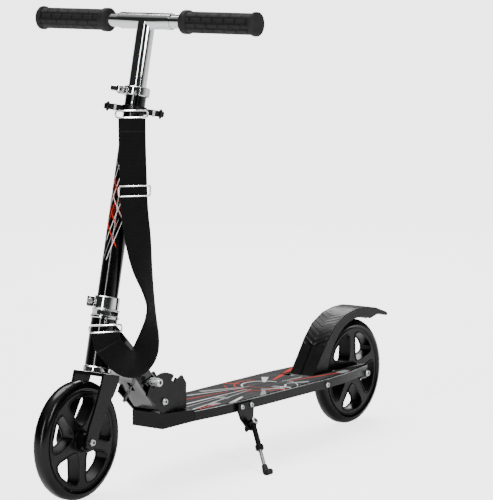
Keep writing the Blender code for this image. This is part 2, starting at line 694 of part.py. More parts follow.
def make_stem(axis):
    ring("steerer_tube", 0.0128, STEERER_RADIUS, CROWN_TOP + GAP, 0.3700, parent=axis,
         look="zinc")
    ring("headset_nut", (STEERER_RADIUS + 2 * GAP) / math.cos(math.pi / 6), 0.0222,
         HEAD_TOP + 0.0060, HEAD_TOP + 0.0135, parent=axis, look="chrome", steps=6)
    ring("lock_washer", STEERER_RADIUS + 2 * GAP, 0.0250, HEAD_TOP + 0.0138,
         HEAD_TOP + 0.0158, parent=axis, look="chrome", steps=12)
    make_clamp("lower_clamp", axis, STEERER_RADIUS + 2 * GAP, 0.0215, HEAD_TOP + 0.0162,
               STEM_BOTTOM - GAP)
    ring("stem_tube", STEM_BORE, STEM_RADIUS, STEM_BOTTOM, STEM_TOP, parent=axis,
         look="black_paint", steps=32)
    make_clamp("upper_clamp", axis, STEM_RADIUS + GAP, 0.0225, CLAMP_BOTTOM, STEM_TOP)


def ear_frame(reach, height, along=0.0):
    """A place beside the clamp's ears: outwards, up the stem and along the skewer."""
    outward = Vector((math.cos(EAR_ANGLE), math.sin(EAR_ANGLE), 0))
    skewer = Vector((-math.sin(EAR_ANGLE), math.cos(EAR_ANGLE), 0))
    return outward * reach + skewer * along + Vector((0, 0, height))


def make_clamp(name, axis, inner, outer, low, high):
    """Split collar with two ears."""
    collar = ring(name, inner - 0.0010, outer, low, high, chamfer=0.0012, parent=axis,
                  look="chrome")
    height = high - low
    middle = (high + low) / 2
    ears = box(name + "_ears", (0.0180, 0.0150, height - 0.0030), axis,
               ear_frame(0.0240, middle), (0, 0, EAR_ANGLE), bevel=0.0015)
    bore = cylinder(name + "_bore", inner, 0.1, axis, (0, 0, middle))
    split = box(name + "_split", (0.0300, 0.0026, 0.1), axis, ear_frame(0.0290, middle),
                (0, 0, EAR_ANGLE))
    across = (math.pi / 2, 0, EAR_ANGLE)
    hole = cylinder(name + "_bolt_hole", 0.0028, 0.1, axis, ear_frame(EAR_REACH, middle),
                    across, steps=12)
    cut(join(collar, ears), bore, split, hole)


def make_clamp_fasteners(axis):
    """Bolt of the lower clamp, and the upper clamp's skewer with its cam lever."""
    along_skewer = (-math.pi / 2, 0, EAR_ANGLE)
    lower = (HEAD_TOP + 0.0162 + STEM_BOTTOM - GAP) / 2
    bolt("lower_clamp_bolt", 0.0025, 0.0048, 0.0036, -0.0110, 0.0078, parent=axis,
         location=ear_frame(EAR_REACH, lower), rotation=along_skewer, look="zinc", steps=12)
    upper = (CLAMP_BOTTOM + STEM_TOP) / 2
    turned("clamp_skewer", [(0, 0.0083), (0.0025, 0.0083), (0.0025, -0.0078),
                            (0.0058, -0.0078), (0.0050, -0.0130), (0, -0.0130)],
           axis, ear_frame(EAR_REACH, upper), along_skewer, "zinc", 12)
    lever = ring("clamp_lever", 0.0030, 0.0068, -0.0050, 0.0050, parent=axis,
                 location=ear_frame(EAR_REACH, upper, 0.0154), look="chrome", steps=16)
    arm = box("clamp_lever_arm", (0.0130, 0.0042, 0.0095), axis,
              ear_frame(EAR_REACH + 0.0090, upper, 0.0174), (0, 0, EAR_ANGLE), bevel=0.0012)
    plug = cylinder("clamp_lever_core", 0.0034, 0.0096, axis,
                    ear_frame(EAR_REACH, upper, 0.0154), steps=16)
    join(lever, arm, plug)


def make_grip_clip(axis):
    """Plastic bar round the stem with an open hook at each end for a folded grip."""
    collar = ring("grip_clip", STEM_RADIUS + GAP, 0.0212, CLIP_UP - 0.0060, CLIP_UP + 0.0060,
                  parent=axis, look="black_plastic", steps=24)
    wing_length = 0.0350
    for sign in (1, -1):
        reach = sign * (0.0160 + wing_length / 2)
        wing = box("clip_wing", (0.0075, wing_length, 0.0100), axis,
                   (-math.sin(CLIP_TURN) * reach, math.cos(CLIP_TURN) * reach, CLIP_UP),
                   (0, 0, CLIP_TURN), bevel=0.0015)
        join(collar, wing)
    cut(collar, cylinder("clip_bore", STEM_RADIUS + GAP, 0.1, axis, (0, 0, CLIP_UP)))


# ---------------------------------------------------------------- handlebar
def make_t_bar(bar_axis):
    """Chrome post with the cross sleeve welded on its top."""
    length = 0.300
    post = cylinder("t_bar", POST_RADIUS, length, bar_axis, (0, 0, -length / 2),
                    look="chrome", steps=32)
    sleeve = cylinder("t_sleeve", SLEEVE_RADIUS, 2 * SLEEVE_HALF_LENGTH, bar_axis,
                      rotation=ALONG_Y, steps=32)
    cap = cylinder("t_sleeve_bore", SLEEVE_BORE, 0.2, bar_axis, rotation=ALONG_Y, steps=32)
    top = box("post_top", (0.05, 0.05, 0.05), bar_axis, (0, 0, 0.025))
    bore = cylinder("post_bore", POST_BORE, 0.4, bar_axis, (0, 0, -0.2 - SLEEVE_RADIUS - 0.002),
                    steps=32)
    cut(post, top, bore)
    join(post, sleeve)
    cut(post, cap)
    for sign in (1, -1):
        notch = box("button_notch", (0.0066, 0.0120, 0.1), bar_axis,
                    (0, sign * (SLEEVE_HALF_LENGTH - 0.0020), 0))
        cut(post, notch)


def make_bar_half(side, sign, bar_axis):
    """Handlebar tube, grip and snap button of one side."""
    tube = ring("bar_tube_" + side, BAR_BORE, BAR_RADIUS,
                *sorted((sign * 0.0060, sign * BAR_HALF_LENGTH)), parent=bar_axis,
                rotation=ALONG_Y, look="chrome", steps=24)
    hole = cylinder("button_hole_" + side, 0.0031, 0.0300, bar_axis,
                    (0, sign * BUTTON_AT, 0.0150), steps=12)
    cut(tube, hole)
    make_grip(side, sign, bar_axis)
    bolt("snap_button_" + side, 0.0027, 0.0027, 0.0012, 0.0075, 0.0134, parent=bar_axis,
         location=(0, sign * BUTTON_AT, 0), look="zinc", steps=12)


def make_grip(side, sign, bar_axis):
    """Ribbed rubber grip with flanges and a closed outer end."""
    flange = 0.0203
    inner = BAR_RADIUS + GAP
    outside = [(0, GRIP_END), (flange - 0.0035, GRIP_END), (flange, GRIP_END - 0.0025),
               (flange, GRIP_END - 0.0075), (GRIP_RADIUS, GRIP_END - 0.0090),
               (GRIP_RADIUS, GRIP_START + 0.0130), (flange, GRIP_START + 0.0110),
               (flange, GRIP_START + 0.0020), (flange - 0.0020, GRIP_START),
               (inner, GRIP_START), (inner, BAR_HALF_LENGTH + GAP),
               (0, BAR_HALF_LENGTH + GAP)]
    turn = ALONG_Y if sign > 0 else SIDE_ON
    turned("grip_" + side, outside, bar_axis, rotation=turn, look="black_rubber", steps=24)


# ---------------------------------------------------------------- carry strap
def strap_route():
    """Middle line of the webbing from the upper ring to the lower ring, with the share
    of a quarter turn by which it is twisted."""
    return [(0.2812, 0.0245, 0.6250, 0.00), (0.2861, 0.0290, 0.5834, 0.00),
            (0.2901, 0.0340, 0.5256, 0.00), (0.2927, 0.0380, 0.4809, 0.00),
            (0.2913, 0.0430, 0.4342, -0.06), (0.2846, 0.0460, 0.3883, -0.25),
            (0.2726, 0.0480, 0.3500, -0.45), (0.2658, 0.0500, 0.3172, -0.50),
            (0.2677, 0.0520, 0.2888, -0.40), (0.2745, 0.0540, 0.2627, -0.22),
            (0.2850, 0.0550, 0.2410, -0.08), (0.3000, 0.0550, 0.2262, 0.00),
            (0.3198, 0.0540, 0.2215, 0.00), (0.3400, 0.0520, 0.2282, 0.00),
            (0.3530, 0.0470, 0.2410, 0.00), (0.3595, 0.0345, 0.2570, 0.00),
            (0.3608, 0.0322, 0.2700, 0.00)]


def smooth_route(points, per_span):
    """Catmull-Rom curve through points of any dimension."""
    padded = [points[0]] + list(points) + [points[-1]]
    result = []
    for i in range(1, len(padded) - 2):
        before, start, end, after = padded[i - 1:i + 3]
        for k in range(per_span):
            t = k / per_span
            weights = (-0.5 * t + t * t - 0.5 * t ** 3, 1 - 2.5 * t * t + 1.5 * t ** 3,
                       0.5 * t + 2 * t * t - 1.5 * t ** 3, -0.5 * t * t + 0.5 * t ** 3)
            corners = (before, start, end, after)
            result.append([sum(w * c[d] for w, c in zip(weights, corners))
                           for d in range(len(start))])
    result.append(list(padded[-2]))
    return result


def make_strap():
    across = Vector((-math.sin(FACING), math.cos(FACING), 0))
    towards = Vector((math.cos(FACING), math.sin(FACING), 0))
    stations = smooth_route(strap_route(), 3)

    def build(bm):
        rows = []
        for i, (x, y, z, share) in enumerate(stations):
            before = Vector(stations[max(i - 1, 0)][:3])
            after = Vector(stations[min(i + 1, len(stations) - 1)][:3])
            run = (after - before).normalized()
            turn = share * math.pi / 2
            facing = towards * math.cos(turn) - across * math.sin(turn)
            width = facing.cross(run).normalized() * STRAP_HALF_WIDTH
            middle = Vector((x, y, z))
            rows.append([bm.verts.new(middle + width * k) for k in (-1, 1)])
        for first, second in zip(rows, rows[1:]):
            bm.faces.new((first[0], first[1], second[1], second[0]))

    strap = add("strap_webbing", mesh_from("strap_webbing", build), look="webbing")
    thick = strap.modifiers.new("Solidify", "SOLIDIFY")
    thick.thickness = STRAP_THICKNESS
    thick.offset = 0.0


def in_frame_of(parent, points):
    """World points in the local frame of their parent."""
    to_local = parent.matrix_world.inverted()
    return [to_local @ Vector(point) for point in points]


def wire_loop(name, centre, half_width, half_height, parent):
    """Rectangular wire ring whose long side is parallel to the strap's width."""
    across = Vector((-math.sin(FACING), math.cos(FACING), 0))
    corner = 0.0035
    points = []
    for i, (right, up) in enumerate(((1, 1), (-1, 1), (-1, -1), (1, -1))):
        middle = (right * (half_width - corner), up * (half_height - corner))
        start = math.pi / 2 * i
        for side, height in arc(middle, corner, start, start + math.pi / 2, 3):
            points.append(Vector(centre) + across * side + Vector((0, 0, height)))
    rod(name, in_frame_of(parent, points), 0.0016, parent, "chrome", cyclic=True)


def make_strap_hardware(fold_axis, steering_axis):
    """Wire rings at the strap's ends, their hooks, and the slide buckle."""
    wire_loop("strap_ring_upper", (0.2805, 0.0238, 0.6345), 0.0275, 0.0058, steering_axis)
    wire_loop("strap_ring_lower", (0.3612, 0.0302, 0.2845), 0.0275, 0.0058, fold_axis)
    wire_loop("strap_buckle", (0.2942, 0.0397, 0.5080), 0.0270, 0.0085, fold_axis)
    upper = [(0.2575, 0.0145, 0.6700), (0.2680, 0.0180, 0.6660), (0.2770, 0.0215, 0.6540),
             (0.2800, 0.0232, 0.6425)]
    lower = [(0.3455, 0.0185, 0.2985), (0.3540, 0.0250, 0.3000), (0.3595, 0.0290, 0.2980),
             (0.3608, 0.0300, 0.2925)]
    rod("strap_hook_upper", in_frame_of(steering_axis, upper), 0.0020, steering_axis, "chrome")
    rod("strap_hook_lower", in_frame_of(fold_axis, lower), 0.0020, fold_axis, "chrome")


def main():
    clear_scene()
    global PARTS, CUTTERS, STAND_PIVOT
    PARTS = new_collection("kick_scooter")
    CUTTERS = new_collection("cutters")
    fold_axis = empty("fold_axis", (PIVOT_X, 0, PIVOT_Z))
    steering_axis = empty("steering_axis", (HEAD_GROUND_X - PIVOT_X, 0, -PIVOT_Z),
                          (0, -HEAD_TILT, 0), fold_axis)
    front_axle = empty("front_axle", (FRONT_AXLE_AHEAD, 0, FRONT_AXLE_UP), (0, 0, 0),
                       steering_axis)
    bar_axis = empty("bar_axis", (0, 0, BAR_UP), (0, 0, 0), steering_axis)
    rear_axle = empty("rear_axle", (-AXLE_X, 0, WHEEL_RADIUS))
    fender_axis = empty("brake_axis", (FENDER_PIVOT_X, 0, FENDER_PIVOT_Z))
    STAND_PIVOT = make_stand_pivot()
    make_deck()
    make_front_block()
    make_quadrant_plates()
    cross_bolt("fold_pivot_bolt", "fold_pivot_nut", fold_axis, PLATE_INNER_Y + PLATE_THICKNESS,
               AXLE_RADIUS, 0.0066)
    make_rear_fasteners(rear_axle, fender_axis)
    make_wheel("rear", rear_axle, -math.pi / 2)
    make_fender(fender_axis)
    make_brake_spring(fender_axis)
    make_stand_bracket()
    make_stand_leg()
    make_down_tube(fold_axis, steering_axis)
    make_head(steering_axis)
    make_lock(fold_axis)
    make_fork(steering_axis)
    make_stem(steering_axis)
    make_clamp_fasteners(steering_axis)
    make_grip_clip(steering_axis)
    cross_bolt("front_axle_bolt", "front_axle_nut", front_axle,
               FORK_INNER_Y + FORK_THICKNESS, AXLE_RADIUS, 0.0062)
    make_wheel("front", front_axle, math.pi / 2 - HEAD_TILT)
    make_t_bar(bar_axis)
    make_bar_half("left", 1, bar_axis)
    make_bar_half("right", -1, bar_axis)
    make_strap()
    make_strap_hardware(fold_axis, steering_axis)


main()
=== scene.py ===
import math

import bmesh
import bpy
from mathutils import Matrix, Vector


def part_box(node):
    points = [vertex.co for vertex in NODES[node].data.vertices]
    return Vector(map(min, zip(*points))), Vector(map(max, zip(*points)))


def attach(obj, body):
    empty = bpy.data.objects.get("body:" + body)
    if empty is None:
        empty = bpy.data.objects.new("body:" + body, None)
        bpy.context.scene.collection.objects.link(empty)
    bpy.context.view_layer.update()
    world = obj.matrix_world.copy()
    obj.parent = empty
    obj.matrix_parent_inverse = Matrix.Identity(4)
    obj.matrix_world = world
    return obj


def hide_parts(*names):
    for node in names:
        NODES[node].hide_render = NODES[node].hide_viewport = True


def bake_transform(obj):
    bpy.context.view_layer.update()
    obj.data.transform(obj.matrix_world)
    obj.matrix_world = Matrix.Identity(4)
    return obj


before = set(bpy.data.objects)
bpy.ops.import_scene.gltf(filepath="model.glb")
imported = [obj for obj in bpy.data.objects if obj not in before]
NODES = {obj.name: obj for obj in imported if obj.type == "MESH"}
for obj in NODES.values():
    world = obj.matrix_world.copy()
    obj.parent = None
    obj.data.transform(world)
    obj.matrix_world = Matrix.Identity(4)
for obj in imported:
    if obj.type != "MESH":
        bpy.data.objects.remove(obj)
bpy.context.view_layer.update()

# ---------------------------------------------------------------- layout, in metres
TILT = math.radians(13.5)
HEAD_GROUND_X = 0.3976
AHEAD = Vector((math.cos(TILT), 0, math.sin(TILT)))       # across the steering axis
UPWARD = Vector((-math.sin(TILT), 0, math.cos(TILT)))     # along the steering axis
WHEEL_RADIUS = 0.100
AXLE_X = 0.402
BAR_UP = 0.8082
STEM_RADIUS = 0.0175
GRIP_RADIUS = 0.018
GRIP_END = 0.23175
SPOKES = 5
CLIP_UP = 0.6560                                          # grip clip, along the steering axis
CLIP_TURN = math.radians(45)
STRAP_HALF_WIDTH = 0.0232
STRAP_THICKNESS = 0.0018
FACING = math.radians(53)                                 # the strap's flat side
ACROSS = Vector((-math.sin(FACING), math.cos(FACING), 0))
TOWARDS = Vector((math.cos(FACING), math.sin(FACING), 0))


def on_stem(x, y, up):
    """A place beside the steering axis."""
    return Vector((HEAD_GROUND_X, 0, 0)) + AHEAD * x + Vector((0, y, 0)) + UPWARD * up


# ---------------------------------------------------------------- shader building
class Shader:
    """One node-built material with its Principled shader."""

    def __init__(self, name, colour, roughness, metallic=0.0, coat=0.0, specular=0.5):
        self.material = bpy.data.materials.new(name)
        self.material.use_nodes = True
        self.tree = self.material.node_tree
        self.surface = self.tree.nodes["Principled BSDF"]
        self.surface.inputs["Base Color"].default_value = (*colour, 1)
        self.surface.inputs["Roughness"].default_value = roughness
        self.surface.inputs["Metallic"].default_value = metallic
        self.surface.inputs["Coat Weight"].default_value = coat
        self.surface.inputs["Specular IOR Level"].default_value = specular
        self.surface.inputs["Coat Roughness"].default_value = 0.08
        self.place = self.tree.nodes.new("ShaderNodeTexCoord").outputs["Object"]

    def connect(self, source, target):
        if isinstance(source, (int, float)):
            target.default_value = source
        else:
            self.tree.links.new(source, target)

    def maths(self, operation, *values):
        node = self.tree.nodes.new("ShaderNodeMath")
        node.operation = operation
        for value, socket in zip(values, node.inputs):
            self.connect(value, socket)
        return node.outputs[0]

    def between(self, value, low, high, soft=0.0003):
        """1 where value lies between low and high, 0 outside."""
        rise = self.ramp(value, low - soft, low + soft, 0, 1)
        fall = self.ramp(value, high - soft, high + soft, 1, 0)
        return self.maths("MULTIPLY", rise, fall)

    def ramp(self, value, low, high, first, last):
        node = self.tree.nodes.new("ShaderNodeMapRange")
        node.clamp = True
        for number, socket in zip((value, low, high, first, last), node.inputs):
            self.connect(number, socket)
        return node.outputs[0]

    def axes(self, source=None):
        node = self.tree.nodes.new("ShaderNodeSeparateXYZ")
        self.connect(source or self.place, node.inputs[0])
        return node.outputs[0], node.outputs[1], node.outputs[2]

    def along(self, direction, origin=(0, 0, 0)):
        """Distance from origin along a direction."""
        shift = self.tree.nodes.new("ShaderNodeVectorMath")
        shift.operation = "SUBTRACT"
        self.connect(self.place, shift.inputs[0])
        shift.inputs[1].default_value = origin
        dot = self.tree.nodes.new("ShaderNodeVectorMath")
        dot.operation = "DOT_PRODUCT"
        self.connect(shift.outputs[0], dot.inputs[0])
        dot.inputs[1].default_value = direction
        return dot.outputs["Value"]

    def vector(self, x, y, z):
        node = self.tree.nodes.new("ShaderNodeCombineXYZ")
        for value, socket in zip((x, y, z), node.inputs):
            self.connect(value, socket)
        return node.outputs[0]

    def noise(self, scale, detail=4.0, source=None):
        node = self.tree.nodes.new("ShaderNodeTexNoise")
        self.connect(source or self.place, node.inputs["Vector"])
        node.inputs["Scale"].default_value = scale
        node.inputs["Detail"].default_value = detail
        return node.outputs["Fac"]

    def cells(self, scale, source=None):
        """Distance to the nearest cell wall."""
        node = self.tree.nodes.new("ShaderNodeTexVoronoi")
        node.feature = "DISTANCE_TO_EDGE"
        self.connect(source or self.place, node.inputs["Vector"])
        node.inputs["Scale"].default_value = scale
        return node.outputs["Distance"]

    def paint(self, mask, colour):
        """Lays a colour over the present base colour where mask is 1."""
        mix = self.tree.nodes.new("ShaderNodeMix")
        mix.data_type = "RGBA"
        base = self.surface.inputs["Base Color"]
        if base.is_linked:
            self.connect(base.links[0].from_socket, mix.inputs["A"])
        else:
            mix.inputs["A"].default_value = base.default_value
        self.connect(mask, mix.inputs["Factor"])
        mix.inputs["B"].default_value = (*colour, 1)
        self.connect(mix.outputs["Result"], base)

    def bump(self, height, distance, strength=1.0):
        node = self.tree.nodes.new("ShaderNodeBump")
        node.inputs["Strength"].default_value = strength
        node.inputs["Distance"].default_value = distance
        self.connect(height, node.inputs["Height"])
        normal = self.surface.inputs["Normal"]
        if normal.is_linked:
            self.connect(normal.links[0].from_socket, node.inputs["Normal"])
        self.connect(node.outputs["Normal"], normal)

    def uneven(self, socket, scale, low, high):
        """Varies one setting of the surface with soft noise."""
        self.connect(self.ramp(self.noise(scale), 0.3, 0.7, low, high),
                     self.surface.inputs[socket])


def black_paint():
    shader = Shader("satin_black_paint", (0.002, 0.002, 0.0022), 0.3, 0.0, 0.06, 0.16)
    shader.uneven("Roughness", 60, 0.26, 0.38)
    shader.paint(shader.ramp(shader.noise(900, 2), 0.4, 0.8, 0, 0.35), (0.006, 0.006, 0.0065))
    shader.bump(shader.noise(700, 3), 0.00012, 0.5)
    return shader


def gloss_paint():
    shader = Shader("gloss_black_paint", (0.0015, 0.0015, 0.0017), 0.14, 0.0, 0.25, 0.35)
    shader.uneven("Roughness", 45, 0.10, 0.18)
    return shader


def moulded_plastic():
    shader = Shader("moulded_plastic", (0.002, 0.002, 0.0022), 0.34, 0.0, 0.04, 0.2)
    shader.uneven("Roughness", 80, 0.27, 0.38)
    shader.bump(shader.noise(1500, 2), 0.00008, 0.5)
    return shader


def gloss_tyre():
    shader = Shader("gloss_tyre", (0.0018, 0.0018, 0.002), 0.2, 0.0, 0.08, 0.24)
    shader.uneven("Roughness", 35, 0.16, 0.27)
    shader.bump(shader.noise(160, 3), 0.00015, 0.4)
    return shader


def metal(name, colour, low, high, scale):
    shader = Shader(name, colour, low, 1.0)
    shader.uneven("Roughness", scale, low, high)
    shader.bump(shader.noise(scale * 6, 2), 0.00004, 0.3)
    return shader


def knurled_metal():
    """Lock knob with lengthwise grooves."""
    shader = metal("knurled_steel", (0.66, 0.67, 0.68), 0.22, 0.34, 90)
    x, y, z = shader.axes()
    pin = NODE_CENTRES["lock_pin"]
    turn = shader.maths("ARCTAN2", shader.maths("SUBTRACT", z, pin.z),
                        shader.maths("SUBTRACT", x, pin.x))
    grooves = shader.maths("SINE", shader.maths("MULTIPLY", turn, 18))
    sides = shader.ramp(shader.maths("ABSOLUTE", y), 0.0505, 0.0515, 1, 0)
    shader.bump(shader.maths("MULTIPLY", grooves, sides), 0.0006, 0.9)
    return shader


def ribbed_rubber():
    """Grip rubber with staggered blocks round the bar and painted shade in the grooves."""
    shader = Shader("ribbed_rubber", (0.011, 0.011, 0.0115), 0.5, 0.0, 0.0, 0.25)
    axis = on_stem(0, 0, BAR_UP)
    x, y, z = shader.axes()
    turn = shader.maths("ARCTAN2", shader.maths("SUBTRACT", z, axis.z),
                        shader.maths("SUBTRACT", x, axis.x))
    around = shader.maths("MULTIPLY", turn, GRIP_RADIUS)
    distance = shader.maths("ABSOLUTE", y)
    brick = shader.tree.nodes.new("ShaderNodeTexBrick")
    shader.connect(shader.vector(distance, around, 0.0), brick.inputs["Vector"])
    brick.inputs["Scale"].default_value = 1.0
    brick.inputs["Mortar Size"].default_value = 0.0021
    brick.inputs["Mortar Smooth"].default_value = 0.4
    brick.inputs["Brick Width"].default_value = 0.0230
    brick.inputs["Row Height"].default_value = math.pi * 2 * GRIP_RADIUS / 12
    body = shader.between(distance, 0.0935, 0.2225)
    grooves = shader.maths("MULTIPLY", brick.outputs["Fac"], body)
    # painted shade: the grooves between the blocks are painted darker than the rubber
    shader.paint(grooves, (0.0010, 0.0010, 0.0010))
    shader.bump(shader.maths("SUBTRACT", 1.0, grooves), 0.0060, 1.0)
    shader.bump(shader.noise(1400, 2), 0.0001, 0.5)
    shader.uneven("Roughness", 70, 0.52, 0.70)
    return shader


def standing_surface():
    """Gritty sheet with printed rings, rays and patches."""
    shader = Shader("printed_grip_sheet", (0.016, 0.016, 0.017), 0.7, 0.0, 0.0, 0.12)
    grit = shader.noise(1100, 2)
    shader.paint(shader.ramp(grit, 0.40, 0.75, 0, 0.7), (0.075, 0.075, 0.078))
    streaks = shader.noise(26, 5, shader.vector(*stretched(shader, 0.5, 3.0)))
    shader.paint(shader.ramp(streaks, 0.5, 0.68, 0, 0.5), (0.09, 0.09, 0.095))
    x, y, _ = shader.axes()
    dx = shader.maths("SUBTRACT", x, -0.115)
    dy = shader.maths("SUBTRACT", y, 0.010)
    distance = shader.maths("SQRT", shader.maths("ADD", shader.maths("MULTIPLY", dx, dx),
                                                 shader.maths("MULTIPLY", dy, dy)))
    turn = shader.maths("ARCTAN2", dy, dx)
    white, red = (0.80, 0.80, 0.80), (0.55, 0.030, 0.015)
    for low, high, start, end, colour in (
            (0.0385, 0.0415, -3.2, -0.6, white), (0.0385, 0.0415, 0.5, 2.4, white),
            (0.0520, 0.0550, -2.2, 1.6, red), (0.0610, 0.0625, 1.9, 3.0, white),
            (0.0700, 0.0720, -0.9, 0.35, red), (0.0260, 0.0275, -1.0, 1.4, red)):
        band = shader.between(distance, low, high)
        shader.paint(shader.maths("MULTIPLY", band, shader.between(turn, start, end, 0.01)),
                     colour)
    for angle, spread, near, far, colour in (
            (-2.84, 0.040, 0.058, 0.30, red), (-2.55, 0.085, 0.030, 0.080, white),
            (-0.44, 0.050, 0.030, 0.130, (0.30, 0.30, 0.31)),
            (0.62, 0.060, 0.050, 0.110, (0.30, 0.30, 0.31)),
            (2.60, 0.050, 0.045, 0.090, (0.36, 0.36, 0.37)),
            (-0.30, 0.012, 0.045, 0.170, white), (0.05, 0.006, 0.120, 0.26, (0.4, 0.4, 0.41)),
            (2.93, 0.016, 0.060, 0.31, red), (3.06, 0.008, 0.050, 0.31, white),
            (0.135, 0.006, 0.045, 0.30, white), (-0.02, 0.010, 0.050, 0.24, white),
            (-0.16, 0.010, 0.090, 0.26, red), (0.30, 0.020, 0.120, 0.20, white),
            (1.75, 0.050, 0.020, 0.060, white), (1.40, 0.030, 0.020, 0.055, white),
            (-1.20, 0.040, 0.045, 0.075, red)):
        ray = shader.between(turn, angle - spread, angle + spread, 0.003)
        reach = shader.between(distance, near, far)
        shader.paint(shader.maths("MULTIPLY", ray, reach), colour)
    for low_x, high_x, low_y, high_y, colour in (
            (0.070, 0.096, 0.036, 0.052, (0.33, 0.33, 0.34)),
            (-0.330, -0.300, 0.042, 0.057, (0.42, 0.42, 0.43)),
            (0.020, 0.034, 0.010, 0.034, (0.25, 0.25, 0.26))):
        patch = shader.maths("MULTIPLY", shader.between(x, low_x, high_x),
                             shader.between(y, low_y, high_y))
        shader.paint(patch, colour)
    dashes = shader.between(shader.maths("FRACT", shader.maths("MULTIPLY", x, 90.0)),
                            0.25, 0.8, 0.02)
    line = shader.maths("MULTIPLY", shader.between(x, 0.078, 0.132),
                        shader.between(y, 0.0470, 0.0530))
    shader.paint(shader.maths("MULTIPLY", line, dashes), red)
    shader.bump(grit, 0.0005, 0.8)
    return shader


def stretched(shader, along, across):
    """The object's own place, scaled along and across the deck."""
    x, y, z = shader.axes()
    return (shader.maths("MULTIPLY", x, along), shader.maths("MULTIPLY", y, across), z)


def printed_stem():
    """Gloss tube with red, white and grey streaks printed on its front and left."""
    shader = gloss_paint()
    shader.material.name = "printed_stem"
    up = shader.along(UPWARD, (HEAD_GROUND_X, 0, 0))
    ahead = shader.along(AHEAD, (HEAD_GROUND_X, 0, 0))
    _, side, _ = shader.axes()
    turn = shader.maths("ARCTAN2", side, ahead)
    around = shader.maths("MULTIPLY", turn, STEM_RADIUS)
    window = shader.between(up, 0.400, 0.600, 0.002)
    slant = shader.maths("ADD", up, shader.maths("MULTIPLY", around, 1.6))
    skew = shader.maths("SUBTRACT", up, shader.maths("MULTIPLY", around, 3.6))
    white, red, grey = (0.78, 0.78, 0.78), (0.55, 0.025, 0.015), (0.28, 0.28, 0.29)
    for value, low, high, first, last, colour in (
            (skew, 0.560, 0.564, -0.020, 0.020, white),
            (slant, 0.552, 0.555, -0.016, 0.020, grey),
            (skew, 0.520, 0.526, -0.014, 0.012, white),
            (slant, 0.520, 0.524, -0.012, 0.022, red),
            (skew, 0.488, 0.494, -0.020, 0.002, red),
            (slant, 0.498, 0.501, -0.018, 0.016, white),
            (skew, 0.452, 0.457, -0.006, 0.018, white),
            (slant, 0.472, 0.476, -0.020, 0.010, red),
            (skew, 0.424, 0.428, -0.016, 0.012, grey),
            (slant, 0.444, 0.448, -0.016, 0.014, red),
            (skew, 0.398, 0.403, -0.010, 0.020, white)):
        band = shader.between(value, low, high, 0.0004)
        width = shader.between(around, first, last, 0.0006)
        mask = shader.maths("MULTIPLY", shader.maths("MULTIPLY", band, width), window)
        shader.paint(mask, colour)
    web = shader.ramp(shader.cells(110), 0.012, 0.030, 0.6, 0)
    wide = shader.between(around, -0.024, 0.026, 0.001)
    upper = shader.between(up, 0.470, 0.535, 0.004)
    shader.paint(shader.maths("MULTIPLY", shader.maths("MULTIPLY", web, wide), upper), red)
    return shader


def chevron_plastic():
    """Brake shell with raised chevrons on the upper part of its back."""
    shader = moulded_plastic()
    shader.material.name = "chevron_plastic"
    x, y, z = shader.axes()
    turn = shader.maths("ARCTAN2", shader.maths("SUBTRACT", z, WHEEL_RADIUS),
                        shader.maths("SUBTRACT", x, -AXLE_X))
    side = shader.maths("ABSOLUTE", y)
    slanted = shader.maths("SUBTRACT", shader.maths("MULTIPLY", turn, 11.0),
                           shader.maths("MULTIPLY", side, 55.0))
    wave = shader.maths("PINGPONG", slanted, 0.5)
    ridge = shader.ramp(wave, 0.16, 0.34, 0, 1)
    zone = shader.between(turn, 0.55, 1.95, 0.05)
    back = shader.ramp(shader.maths("ABSOLUTE", y), 0.0225, 0.0245, 1, 0)
    shader.bump(shader.maths("MULTIPLY", shader.maths("MULTIPLY", ridge, zone), back), 0.0022)
    spine = shader.ramp(side, 0.0015, 0.0045, 1, 0)
    lower = shader.between(turn, 0.10, 0.60, 0.08)
    shader.bump(shader.maths("MULTIPLY", spine, lower), 0.0015)
    return shader


def webbing():
    """Woven strap: fine crosswise ribs with painted highlights on their crests, and painted
    highlights along the edges.
    """
    shader = Shader("black_webbing", (0.0028, 0.0028, 0.003), 0.8, 0.0, 0.0, 0.08)
    shader.surface.inputs["Sheen Weight"].default_value = 0.03
    uv = shader.tree.nodes.new("ShaderNodeUVMap").outputs["UV"]
    across, along, _ = shader.axes(uv)
    ribs = shader.maths("SINE", shader.maths("MULTIPLY", along, 2 * math.pi / 0.0022))
    threads = shader.maths("SINE", shader.maths("MULTIPLY", across, 2 * math.pi / 0.0030))
    weave = shader.maths("MULTIPLY", ribs, shader.maths("ADD", 0.7, shader.maths(
        "MULTIPLY", threads, 0.3)))
    shader.bump(weave, 0.0005, 0.8)
    # painted highlight: the crests of the ribs are painted lighter
    shader.paint(shader.ramp(weave, -0.6, 0.9, 0, 0.8), (0.009, 0.009, 0.0095))
    # painted highlight: a lighter band along each edge stands in for light on raised edges
    edge = shader.ramp(shader.maths("ABSOLUTE", across), 0.0205, 0.0215, 0, 1)
    shader.paint(shader.maths("MULTIPLY", edge, 0.5), (0.006, 0.006, 0.006))
    dashes = shader.between(shader.maths("FRACT", shader.maths("MULTIPLY", across, 400.0)),
                            0.15, 0.75, 0.05)
    for place in (0.022, 0.497):
        seam = shader.between(along, place, place + 0.0007, 0.0002)
        shader.paint(shader.maths("MULTIPLY", seam, dashes), (0.05, 0.05, 0.052))
    return shader


# ---------------------------------------------------------------- pieces
def centre_of(name):
    low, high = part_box(name)
    return (Vector(low) + Vector(high)) / 2


NODE_CENTRES = {name: centre_of(name) for name in NODES}


def piece(name, mesh, look, body):
    obj = bpy.data.objects.new(name, mesh)
    bpy.context.scene.collection.objects.link(obj)
    mesh.materials.clear()
    mesh.materials.append(look)
    if body:
        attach(obj, body)
    return obj


def mesh_from(name, build):
    mesh = bpy.data.meshes.new(name)
    bm = bmesh.new()
    build(bm)
    bmesh.ops.recalc_face_normals(bm, faces=bm.faces)
    bm.to_mesh(mesh)
    bm.free()
    return mesh


